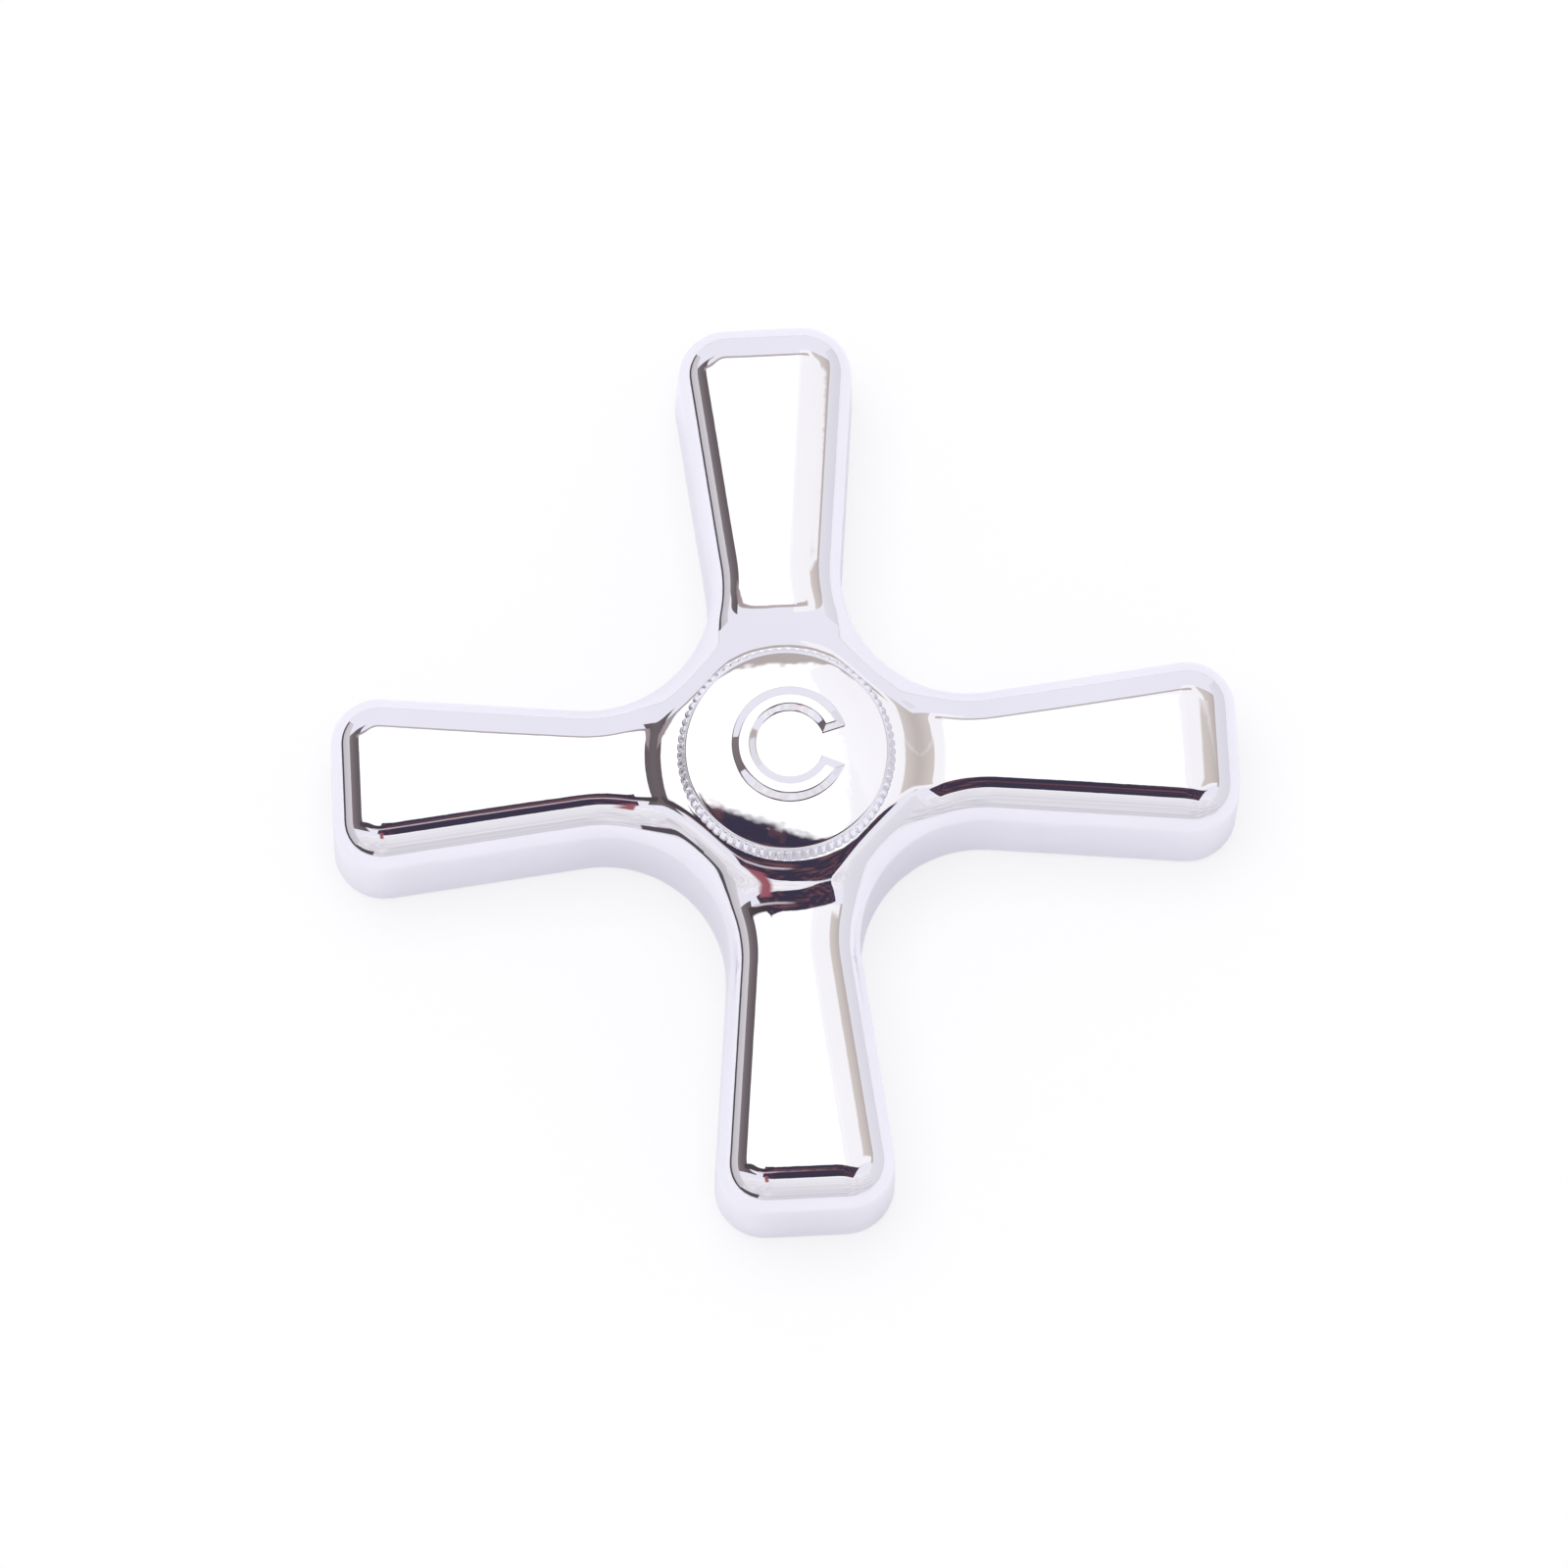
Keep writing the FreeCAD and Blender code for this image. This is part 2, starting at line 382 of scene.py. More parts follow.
@dataclass
class CrossBody:
    """The cast cross: hub and arms in one mesh, hollowed for cap, screw and spindle.

    One arm is modelled from its top sheet down to its underside and turned round the hub.
    All sizes are in millimetres and angles in degrees.
    """

    span: float = 70.0
    tip_width: float = 14.77
    side_taper: float = 6.2
    tip_corner_radius: float = 3.9
    web_radius: float = 9.4
    arm_height: float = 12.4
    top_edge_radius: float = 3.0
    bottom_edge_radius: float = 0.7
    wall_draft: float = 1.5
    swell_start: float = 0.1
    crown_sideways: float = 0.03
    crown_fade: Span = (-4.0, 12.0)
    roll_slope: float = 9.0
    roll_reach: float = 1.4
    roll_run_out: float = 0.65
    roll_fade: Span = (-6.0, 2.0)
    tip_roll: float = 0.78
    hub_rise: float = 0.92
    hub_rim_radius: float = 8.0
    hub_slope_run: float = 4.4
    recess_radius: float = 7.05
    recess_floor: float = 10.65
    screw_hole_radius: float = 2.75
    socket_top: float = 8.65
    serration_count: int = 20
    serration_root_radius: float = 4.05
    serration_tip_radius: float = 3.6
    pilot_radius: float = 4.6
    pilot_depth: float = 2.4
    mouth_chamfer: float = 0.3
    arms: int = 4
    across_steps: int = 36
    roll_share_limit: float = 0.6
    corner_steps: int = 10
    side_steps: int = 40
    bend_lead_steps: int = 13
    web_steps: int = 36
    hub_steps: int = 6
    top_edge_steps: int = 20
    wall_steps: int = 4
    bottom_edge_steps: int = 6
    sharp_angle: float = 30.0

    def hub_foot(self) -> float:
        """Radius where the hub's slope meets the arms."""
        return self.hub_rim_radius + self.hub_slope_run

    def hub_lift(self, radius: float) -> float:
        """How far the hub's S-shaped slope stands above the arms.

        Args:
            radius: Distance from the spindle axis.

        Returns:
            The lift there.
        """
        foot = self.hub_foot()
        if radius <= self.hub_rim_radius:
            return self.hub_rise
        if radius >= foot:
            return 0.0
        bend = (self.hub_slope_run ** 2 + self.hub_rise ** 2) / (4 * self.hub_rise)
        if radius > (foot + self.hub_rim_radius) / 2:
            return bend - math.sqrt(bend ** 2 - (foot - radius) ** 2)
        return self.hub_rise - bend + math.sqrt(bend ** 2 - (radius - self.hub_rim_radius) ** 2)

    def corner_centre(self) -> Vector:
        """Centre of the +X arm's rounded corner on its +Y side."""
        taper, radius = math.radians(self.side_taper), self.tip_corner_radius
        return Vector((self.span / 2 - radius,
                       self.tip_width / 2 - math.tan(taper) * radius - radius / math.cos(taper)))

    def web_centre(self) -> Vector:
        """Centre of the web's hollow round between the +X and +Y arms."""
        taper = math.radians(self.side_taper)
        slope = math.tan(taper)
        reach = self.web_radius / math.cos(taper) + self.tip_width / 2 - self.span / 2 * slope
        return Vector((1, 1)) * (reach / (1 - slope))

    def side_normal(self) -> Vector:
        """Outward direction of the +X arm's straight side on its +Y side."""
        taper = math.radians(self.side_taper)
        return Vector((-math.sin(taper), math.cos(taper)))

    def edge_inset(self) -> float:
        """How far inside the plan outline the top edge's round meets the top sheet."""
        draft, radius, foot = math.radians(self.wall_draft), self.top_edge_radius, self.bottom_edge_radius
        rise = self.arm_height - radius + radius * math.sin(draft) - foot - foot * math.sin(draft)
        return radius * math.cos(draft) + foot * (1 - math.cos(draft)) + math.tan(draft) * rise

    def rim_points(self, inset: float) -> list[Vector]:
        """The +X arm's plan outline on its +Y side, from the tip's corner round to the web's middle.

        Args:
            inset: How far inside the plan outline the points lie.

        Returns:
            The points.
        """
        taper = math.radians(self.side_taper)
        corner, web, normal = self.corner_centre(), self.web_centre(), self.side_normal()
        points = []
        for step in range(self.corner_steps + 1):
            turn = (math.pi / 2 + taper) * step / self.corner_steps
            reach = self.tip_corner_radius - inset
            points.append(corner + reach * Vector((math.cos(turn), math.sin(turn))))
        start = points[-1]
        neck = web - (self.web_radius + inset) * normal
        for step in range(1, self.side_steps + 1):
            points.append(start.lerp(neck, step / self.side_steps))
        for step in range(1, self.web_steps + 1):
            turn = taper - math.pi / 2 - (math.pi / 4 + taper) * step / self.web_steps
            points.append(web + (self.web_radius + inset) * Vector((math.cos(turn), math.sin(turn))))
        return points

    def across_shares(self, half: float, bend: float) -> list[float]:
        """Where a row's points lie across the sheet: half of them in the roll-off, or all evenly.

        Args:
            half: The row's half width.
            bend: How evenly the points are spread, from 0 on the arm to 1 at the hub.

        Returns:
            The places from -1 to 1.
        """
        flat = 1 - min(self.roll_reach / half, self.roll_share_limit)
        shares = []
        for step in range(self.across_steps + 1):
            even = 2 * step / self.across_steps - 1
            size = abs(even)
            place = 2 * size * flat if size < 0.5 else flat + (2 * size - 1) * (1 - flat)
            shares.append(math.copysign(place + (size - place) * bend, even))
        return shares

    def sheet_rows(self, inset: float, hub_radius: float) -> list[list[Vector]]:
        """The +X arm's top or underside as rows of points, straight at the tip and round at the hub.

        Args:
            inset: How far inside the plan outline the sheet ends.
            hub_radius: Where the sheet ends at the hub.

        Returns:
            The rows from the tip to the hub, each from the -Y side to the +Y side.
        """
        rim = self.rim_points(inset)
        bend_start = len(rim) - 1 - self.web_steps - self.bend_lead_steps
        rows = []
        for index, point in enumerate(rim):
            bend = smooth_step(index, bend_start, len(rim) - 1)
            shares = self.across_shares(point.y, bend)
            reach, turn = point.length, math.atan2(point.y, point.x)
            rows.append([Vector((point.x, share * point.y)).lerp(
                reach * Vector((math.cos(share * turn), math.sin(share * turn))), bend) for share in shares])
        reach = rim[-1].length
        for step in range(1, self.hub_steps + 1):
            radius = reach + (hub_radius - reach) * step / self.hub_steps
            rows.append([radius * Vector((math.cos(share * math.pi / 4), math.sin(share * math.pi / 4)))
                         for share in shares])
        return rows

    def lay_sheet(self, bench: Bench, inset: float, hub_radius: float, height: float) -> None:
        """Add a grid and fit it to the arm's top or underside.

        Args:
            bench: The mesh under work.
            inset: How far inside the plan outline the sheet ends.
            hub_radius: Where the sheet ends at the hub.
            height: How high it lies.
        """
        rows = self.sheet_rows(inset, hub_radius)
        bpy.ops.mesh.select_mode(type="VERT")
        bench.clear()
        bpy.ops.mesh.primitive_grid_add(
            x_subdivisions=self.across_steps, y_subdivisions=len(rows) - 1, size=1.0)
        for vert in bench.chosen():
            row = rows[round((vert.co.y + 0.5) * (len(rows) - 1))]
            place = row[round((vert.co.x + 0.5) * self.across_steps)]
            vert.co = (place.x, place.y, height)
        bench.update()

    def outward(self, place: Vector) -> Vector:
        """Outward direction of the +X arm's outline at a point on or inside it.

        Args:
            place: The point.

        Returns:
            The direction, in plan.
        """
        side = 1 if place.y >= 0 else -1
        point = Vector((place.x, abs(place.y)))
        corner, web, normal = self.corner_centre(), self.web_centre(), self.side_normal()
        along = Vector((-normal.y, normal.x))
        if (point - corner).dot(along) < 0:
            facing = Vector((1, 0)) if point.y < corner.y + NEAR else (point - corner).normalized()
        elif (point - web).dot(along) > 0:
            facing = (web - point).normalized()
        else:
            facing = normal
        return Vector((facing.x, side * facing.y))

    def edge_rows(self) -> list[tuple[float, float]]:
        """The wall's section below the top sheet: rounded edge, drafted wall and rounded foot.

        Returns:
            Inset and height of each row.
        """
        draft, foot = math.radians(self.wall_draft), self.bottom_edge_radius
        rows = []
        for step in range(1, self.top_edge_steps + 1):
            turn = (math.pi / 2 - draft) * step / self.top_edge_steps
            rows.append((self.edge_inset() - self.top_edge_radius * math.sin(turn),
                         self.arm_height - self.top_edge_radius * (1 - math.cos(turn))))
        start = rows[-1]
        end = (foot * (1 - math.cos(draft)), foot * (1 + math.sin(draft)))
        for step in range(1, self.wall_steps + 1):
            share = step / self.wall_steps
            rows.append(tuple(low + (high - low) * share for low, high in zip(start, end)))
        for step in range(1, self.bottom_edge_steps + 1):
            turn = draft - (draft + math.pi / 2) * step / self.bottom_edge_steps
            rows.append((foot * (1 - math.cos(turn)), foot * (1 + math.sin(turn))))
        return rows

    def drop_walls(self, bench: Bench) -> None:
        """Extrude the sheet's outer rim down the rounded edge and the wall.

        Args:
            bench: The mesh under work, holding the top sheet alone.
        """
        hub = self.recess_radius
        bench.pick_rim(lambda middle: not self.on_seam(middle) and middle.xy.length > hub + NEAR)
        inset = self.edge_inset()
        for next_inset, height in self.edge_rows():
            bpy.ops.mesh.extrude_region_move()
            for vert in bench.chosen():
                shift = self.outward(vert.co) * (inset - next_inset)
                vert.co.x += shift.x
                vert.co.y += shift.y
                vert.co.z = height
            inset = next_inset
            bench.update()

    @staticmethod
    def on_seam(middle: Vector) -> bool:
        """Whether a point lies on the diagonal where two arms meet."""
        return abs(abs(middle.x) - abs(middle.y)) < NEAR

    def bore_hub(self, bench: Bench) -> None:
        """Run the hub's hollow from the socket's mouth up to the cap's recess.

        Args:
            bench: The mesh under work.
        """
        mouth = self.pilot_radius + self.mouth_chamfer
        bench.pick_rim(lambda middle: middle.z < NEAR and middle.xy.length < mouth + NEAR)
        bench.grow(self.pilot_radius, self.mouth_chamfer)
        bench.grow(self.pilot_radius, self.pilot_depth)
        bench.grow(self.serration_root_radius, self.pilot_depth)
        tooth_depth = self.serration_root_radius - self.serration_tip_radius
        for vert in bench.chosen():
            turn = math.atan2(vert.co.y, vert.co.x) * self.serration_count / math.tau
            set_radius(vert, self.serration_tip_radius + abs(within_tooth(turn)) * tooth_depth)
        bench.update()
        bench.draw(Vector((0, 0, self.socket_top - self.pilot_depth)))
        bench.grow(self.screw_hole_radius, self.socket_top)
        bench.grow(self.screw_hole_radius, self.recess_floor)
        bench.grow(self.recess_radius, self.recess_floor)
        bench.grow(self.recess_radius, self.arm_height)
        bench.weld()

    def edge_roll(self, gap: float) -> float:
        """How far the polished top rolls off beside a rounded edge.

        Args:
            gap: Distance inside the line where the edge's round starts, negative outside it.

        Returns:
            The drop there.
        """
        inside = min(max(self.roll_reach - gap, 0.0), self.roll_reach)
        outside = min(max(-gap, 0.0), self.roll_run_out)
        run = inside ** 2 / (2 * self.roll_reach) + outside - outside ** 2 / (2 * self.roll_run_out)
        return math.tan(math.radians(self.roll_slope)) * run

    def fade_in(self, along: float, span: Span) -> float:
        """Ease from 0 to 1 along an arm, over a span measured from the foot of the hub's slope."""
        return smooth_step(along, self.hub_foot() + span[0], self.hub_foot() + span[1])

    def crown_drop(self, place: Vector) -> float:
        """How far the arms' tops fall below their middle lines.

        Args:
            place: A point in plan.

        Returns:
            The drop there: a slight crown on the X arms, and a roll-off at their tips and along the Y arms.
        """
        along, across = max(abs(place.x), abs(place.y)), min(abs(place.x), abs(place.y))
        taper, inset = math.radians(self.side_taper), self.edge_inset()
        half = self.tip_width / 2 - math.tan(taper) * (self.span / 2 - along) - inset / math.cos(taper)
        if abs(place.x) > abs(place.y):
            share = across / half * self.fade_in(along, self.crown_fade)
            crown = self.crown_sideways * (2 * share - 1 if share > 1 else share * share)
            return crown + self.tip_roll * self.edge_roll(self.span / 2 - inset - along)
        web, normal = self.web_centre(), self.side_normal()
        from_web = Vector((along, across)) - web
        if from_web.dot(Vector((-normal.y, normal.x))) > 0:
            gap = from_web.length - self.web_radius - inset
        else:
            gap = (half - across) * math.cos(taper)
        return self.fade_in(along, self.roll_fade) * self.edge_roll(gap)

    def swell_top(self, bench: Bench) -> None:
        """Lift the hub to its rim and crown the arms, fading out down the walls.

        Args:
            bench: The mesh under work.
        """
        for vert in bench.cage().verts:
            if vert.co.xy.length < self.recess_radius + NEAR and vert.co.z < self.arm_height - NEAR:
                continue
            share = smooth_step(vert.co.z / self.arm_height, self.swell_start, 1.0)
            vert.co.z += share * (self.hub_lift(vert.co.xy.length) - self.crown_drop(vert.co.xy))
        bench.update()

    def build(self) -> bpy.types.Object:
        """Model the body.

        Returns:
            The finished piece.
        """
        bench = Bench("cross_body")
        self.lay_sheet(bench, self.edge_inset(), self.recess_radius, self.arm_height)
        self.drop_walls(bench)
        self.lay_sheet(bench, self.bottom_edge_radius, self.pilot_radius + self.mouth_chamfer, 0.0)
        bpy.ops.mesh.select_all(action="SELECT")
        bpy.ops.mesh.spin(steps=self.arms - 1, dupli=True, center=(0, 0, 0), axis=(0, 0, 1),
                          angle=math.radians(360 * (self.arms - 1) / self.arms))
        bench.weld()
        self.bore_hub(bench)
        self.swell_top(bench)
        cage = bench.cage()
        LOG.info("body verts %d faces %d open edges %d", len(cage.verts), len(cage.faces),
                 sum(not edge.is_manifold for edge in cage.edges))
        return bench.finish(self.sharp_angle)


@dataclass
class IndexCap:
    """The push-in cap over the hub: a plug, a beaded band, a rounded lip and a dome with a raised letter.

    All sizes are in millimetres and angles in degrees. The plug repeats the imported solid's,
    and the top keeps within it.
    """

    radius: float = 8.45
    seat: float = 13.32
    band_height: float = 1.13
    band_lean: float = 0.6
    bead_count: int = 76
    bead_depth: float = 0.22
    lip_radius: float = 0.25
    dome_rise: float = 0.33
    plug_radius: float = 7.01
    plug_end: float = 11.05
    hollow_radius: float = 5.91
    ceiling: float = 13.35
    turn: float = -4.0
    letter_outer: float = 4.45
    letter_inner: float = 2.6
    letter_run: float = 0.55
    letter_height: float = 0.29
    letter_round: float = 0.05
    letter_gap: float = 40.0
    letter_shift: tuple[float, float] = (0.25, 0.4)
    letter_margin: float = 0.25
    bead_steps: int = 8
    band_rows: int = 10
    lip_rows: int = 7
    dome_rows: int = 12
    letter_rows: int = 56
    eye_rows: int = 8
    eye_radius: float = 0.2
    sharp_angle: float = 40.0

    def lip_foot(self) -> float:
        """Height where the band ends and the lip starts."""
        return self.seat + self.band_height

    def dome_edge(self) -> float:
        """Height where the lip ends and the dome starts."""
        return self.lip_foot() + self.lip_radius

    def lip_outer(self) -> float:
        """Radius of the lip's foot."""
        return self.radius - self.band_lean

    def dome_reach(self) -> float:
        """Radius of the dome's edge."""
        return self.lip_outer() - self.lip_radius

    def dome_height(self, radius: float) -> float:
        """Height of the dome's own surface.

        Args:
            radius: Distance from the cap's axis.

        Returns:
            The height there.
        """
        reach, rise = self.dome_reach(), self.dome_rise
        bend = (reach ** 2 + rise ** 2) / (2 * rise)
        return self.dome_edge() + rise - bend + math.sqrt(bend ** 2 - radius ** 2)

    def letter_lift(self, place: Vector) -> float:
        """How far the raised letter stands above the dome: a ring with a gap towards +X.

        Args:
            place: A point, from the letter's own centre.

        Returns:
            The lift there.
        """
        radius = place.length
        beyond_end = abs(math.atan2(place.y, place.x)) - math.radians(self.letter_gap / 2)
        from_end = radius * math.sin(min(beyond_end, math.pi / 2))
        inside = min(radius - self.letter_inner, self.letter_outer - radius, from_end)
        share = inside / self.letter_run
        ease = self.letter_round / self.letter_run
        return self.letter_height * self.eased_ramp(share, ease)

    @staticmethod
    def eased_ramp(share: float, ease: float) -> float:
        """A straight ramp from 0 to 1 with rounded foot and top.

        Args:
            share: Where along the ramp, 0 at its foot and 1 at its top.
            ease: How far each round reaches along the ramp.

        Returns:
            The height, from 0 to 1.
        """
        share = min(max(share, -ease), 1 + ease)
        if share < ease:
            return (share + ease) ** 2 / (4 * ease)
        if share > 1 - ease:
            return 1 - (1 + ease - share) ** 2 / (4 * ease)
        return share

    def profile(self) -> list[tuple[float, float]]:
        """The cap's section from the plug's hollow round to the dome's middle.

        Returns:
            Radius and height of each circle.
        """
        rows = [(self.hollow_radius, self.plug_end), (self.plug_radius, self.plug_end),
                (self.plug_radius, self.seat)]
        for row in range(self.band_rows + 1):
            share = row / self.band_rows
            rows.append((self.radius - share * self.band_lean, self.seat + share * self.band_height))
        for row in range(self.lip_rows + 1):
            turn = math.pi / 2 * row / self.lip_rows
            rows.append((self.dome_reach() + self.lip_radius * math.cos(turn),
                         self.lip_foot() + self.lip_radius * math.sin(turn)))
        outer = self.letter_outer + self.letter_margin
        inner = self.letter_inner - self.letter_margin
        for start, end, count in ((self.dome_reach(), outer, self.dome_rows),
                                  (outer, inner, self.letter_rows),
                                  (inner, self.eye_radius, self.eye_rows)):
            for row in range(1, count + 1):
                radius = start + (end - start) * row / count
                rows.append((radius, self.dome_height(radius)))
        return rows

    def cut_beads(self, bench: Bench) -> None:
        """Sink the band between its rounded beads.

        Args:
            bench: The mesh under work.
        """
        for vert in bench.cage().verts:
            share = (vert.co.z - self.seat) / self.band_height
            on_band = vert.co.xy.length - (self.radius - share * self.band_lean)
            if not -NEAR < share < 1 + NEAR or abs(on_band) > NEAR:
                continue
            turn = math.atan2(vert.co.y, vert.co.x) / math.tau * self.bead_count
            across = within_tooth(turn)
            bulge = math.sqrt(max(1 - across ** 2, 0)) * math.sqrt(max(1 - (2 * share - 1) ** 4, 0))
            set_radius(vert, vert.co.xy.length - self.bead_depth * (1 - bulge))
        bench.update()

    def raise_letter(self, bench: Bench) -> None:
        """Slide the dome's inner circles to the letter's centre and lift the letter out of the dome.

        Args:
            bench: The mesh under work.
        """
        shift = Vector(self.letter_shift)
        outer = self.letter_outer + self.letter_margin
        for vert in bench.cage().verts:
            radius = vert.co.xy.length
            if vert.co.z < self.dome_edge() + NEAR or radius > self.dome_reach() - NEAR:
                continue
            lift = self.letter_lift(vert.co.xy)
            share = min((self.dome_reach() - radius) / (self.dome_reach() - outer), 1.0)
            vert.co.x += share * shift.x
            vert.co.y += share * shift.y
            vert.co.z = self.dome_height(vert.co.xy.length) + lift
        bench.update()

    def build(self) -> bpy.types.Object:
        """Model the cap.

        Returns:
            The finished piece.
        """
        bench = Bench("index_cap_dressed")
        bench.ring(self.hollow_radius, self.ceiling, self.bead_count * self.bead_steps)
        bench.lathe(self.profile())
        bench.draw_shut()
        bench.pick_rim(lambda middle: middle.z < self.ceiling + NEAR)
        bench.draw_shut()
        self.raise_letter(bench)
        self.cut_beads(bench)
        bpy.ops.mesh.select_all(action="SELECT")
        # With no window the operator turns the other way
        bpy.ops.transform.rotate(value=math.radians(-self.turn), orient_axis="Z", center_override=(0, 0, 0))
        return bench.finish(self.sharp_angle)


@dataclass
class FixingScrew:
    """The slotted brass screw that holds the handle on its spindle, with its thread.

    All sizes are in millimetres and angles in degrees. The thread alone isn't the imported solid's.
    """

    head_radius: float = 4.5
    head_foot: float = 10.65
    head_height: float = 2.2
    head_edge: float = 0.5
    slot_width: float = 1.3
    slot_depth: float = 1.0
    shank_radius: float = 2.5
    length: float = 8.0
    tip_chamfer: float = 0.6
    pitch: float = 0.8
    thread_depth: float = 0.42
    thread_run_out: float = 0.2
    plain_neck: float = 1.2
    slot_overrun: float = 0.5
    rows_per_turn: int = 8
    edge_rows: int = 5
    round_count: int = 64
    sharp_angle: float = 30.0

    def head_top(self) -> float:
        """Height of the head's top."""
        return self.head_foot + self.head_height

    def profile(self) -> list[tuple[float, float]]:
        """The screw's section from the head's top to the shank's tip.

        Returns:
            Radius and height of each circle.
        """
        rows = []
        for row in range(self.edge_rows + 1):
            turn = math.pi / 2 * row / self.edge_rows
            rows.append((self.head_radius - self.head_edge * (1 - math.sin(turn)),
                         self.head_top() - self.head_edge * (1 - math.cos(turn))))
        rows.append((self.head_radius, self.head_foot))
        rows.append((self.shank_radius, self.head_foot))
        tip = self.head_foot - self.length
        drop = tip + self.tip_chamfer - self.head_foot
        count = round((self.length - self.tip_chamfer) / self.pitch * self.rows_per_turn)
        for row in range(1, count + 1):
            rows.append((self.shank_radius, self.head_foot + drop * row / count))
        rows.append((self.shank_radius - self.tip_chamfer, tip))
        return rows

    def cut_thread(self, bench: Bench) -> None:
        """Sink a helical thread into the shank, running out under the head.

        Args:
            bench: The mesh under work.
        """
        start = self.head_foot - self.plain_neck
        end = self.head_foot - self.length + self.tip_chamfer
        for vert in bench.cage().verts:
            if abs(vert.co.xy.length - self.shank_radius) > NEAR or vert.co.z > start:
                continue
            turn = vert.co.z / self.pitch - math.atan2(vert.co.y, vert.co.x) / math.tau
            depth = 1 - abs(within_tooth(turn))
            depth *= smooth_step(start - vert.co.z, 0.0, self.pitch)
            depth *= smooth_step(vert.co.z - end, -self.thread_run_out, self.pitch)
            set_radius(vert, self.shank_radius - self.thread_depth * depth)
        bench.update()

    def cut_slot(self, screw: bpy.types.Object) -> None:
        """Cut the driver's slot across the head.

        Args:
            screw: The finished screw, in metres.
        """
        bpy.ops.object.select_all(action="DESELECT")
        length = 2 * (self.head_radius + self.slot_overrun)
        size = Vector((length, self.slot_width, 2 * self.slot_depth)) * METRES_PER_MM
        top = self.head_top() * METRES_PER_MM
        bpy.ops.mesh.primitive_cube_add(size=1.0, location=(0, 0, top), scale=size)
        cutter = bpy.context.object
        cut = screw.modifiers.new("slot", "BOOLEAN")
        cut.operation = "DIFFERENCE"
        cut.solver = "EXACT"
        cut.object = cutter
        bpy.context.view_layer.objects.active = screw
        bpy.ops.object.modifier_apply(modifier=cut.name)
        bpy.ops.object.select_all(action="DESELECT")
        cutter.select_set(True)
        bpy.ops.object.delete()

    def build(self) -> bpy.types.Object:
        """Model the screw.

        Returns:
            The finished piece.
        """
        bench = Bench("fixing_screw_dressed")
        rows = self.profile()
        bench.ring(*rows[0], self.round_count)
        bench.lathe(rows[1:])
        bench.draw_shut()
        bench.pick_rim(lambda middle: middle.z > self.head_top() - NEAR)
        bench.draw_shut()
        self.cut_thread(bench)
        screw = bench.finish(self.sharp_angle)
        self.cut_slot(screw)
        return screw


class Lie(Enum):
    """How a card stands in the studio."""

    FLAT = (0.0, 0.0)
    FACING_SIDE = (0.0, 90.0)
    FACING_FRONT = (90.0, 0.0)


@dataclass(frozen=True)
class Card:
    """A sheet of the studio that the polished metal mirrors and that sheds no light of its own.

    Sizes are in metres and angles in degrees.
    """

    name: str
    centre: tuple[float, float, float]
    size: tuple[float, float]
    colour_start: Colour
    colour_end: Colour
    feather: float
    lie: Lie = Lie.FLAT
    upward: bool = False
    mottle: float = 0.0
    mottle_scale: float = 9.0
    mottle_detail: float = 4.0
    mottle_stretch: float = 1.0
    mottle_span: Span = (0.38, 0.64)
    turn: float = 0.0

    def blend_share(self, board: NodeBoard, place: bpy.types.NodeSocket,
                    axis: bpy.types.NodeSocket) -> bpy.types.NodeSocket:
        """How far the card has gone from its first colour to its second.

        Args:
            board: The card's nodes.
            place: A point of the card.
            axis: Its place along the card's run.

        Returns:
            The share, from 0 to 1.
        """
        reach = self.size[1 if self.upward else 0] / 2
        run = board.spread(axis, (-reach, reach), (0.0, 1.0))
        if not self.mottle:
            return run
        drawn = board.add("VectorMath", {0: place, 1: (1, self.mottle_stretch, 1)}, operation="MULTIPLY")
        noise = board.noise(drawn.outputs[0], self.mottle_scale, self.mottle_detail)
        cloud = board.spread(noise, self.mottle_span, (0.0, 1.0))
        return board.math("ADD", board.math("MULTIPLY", run, 1 - self.mottle),
                          board.math("MULTIPLY", cloud, self.mottle))

    def material(self) -> bpy.types.Material:
        """A glow from one colour to another along the card, mottled or plain, with feathered edges.

        Returns:
            The material.
        """
        material = bpy.data.materials.new(self.name)
        material.use_nodes = True
        board = NodeBoard(material.node_tree)
        nodes = material.node_tree.nodes
        nodes.remove(nodes["Principled BSDF"])
        place = board.add("TexCoord").outputs["Object"]
        axes = board.add("SeparateXYZ", {"Vector": place}).outputs
        masks = []
        for axis, extent in zip(axes, self.size):
            inside = board.math("SUBTRACT", extent / 2, board.math("ABSOLUTE", axis, 0.0))
            masks.append(board.spread(inside, (0.0, self.feather), (0.0, 1.0)))
        cover = board.math("MULTIPLY", masks[0], masks[1])
        share = self.blend_share(board, place, axes[1 if self.upward else 0])
        glow = board.add("Emission", {"Color": board.tint(share, self.colour_start, self.colour_end)})
        blend = board.add("MixShader", {"Fac": cover, 1: board.add("BsdfTransparent").outputs[0],
                                        2: glow.outputs[0]})
        board.fill(nodes["Material Output"], {"Surface": blend.outputs[0]})
        return material

    def place(self) -> None:
        """Stand the card in the studio, seen in reflections alone."""
        bpy.ops.object.select_all(action="DESELECT")
        turn = [math.radians(angle) for angle in (*self.lie.value, self.turn)]
        bpy.ops.mesh.primitive_plane_add(size=1.0, location=self.centre, rotation=turn)
        sheet = bpy.context.object
        sheet.name = self.name
        sheet.scale = (*self.size, 1)
        bpy.ops.object.transform_apply(location=False, rotation=False, scale=True)
        sheet.data.materials.append(self.material())
        sheet.visible_camera = False
        sheet.visible_diffuse = False
        sheet.visible_shadow = False


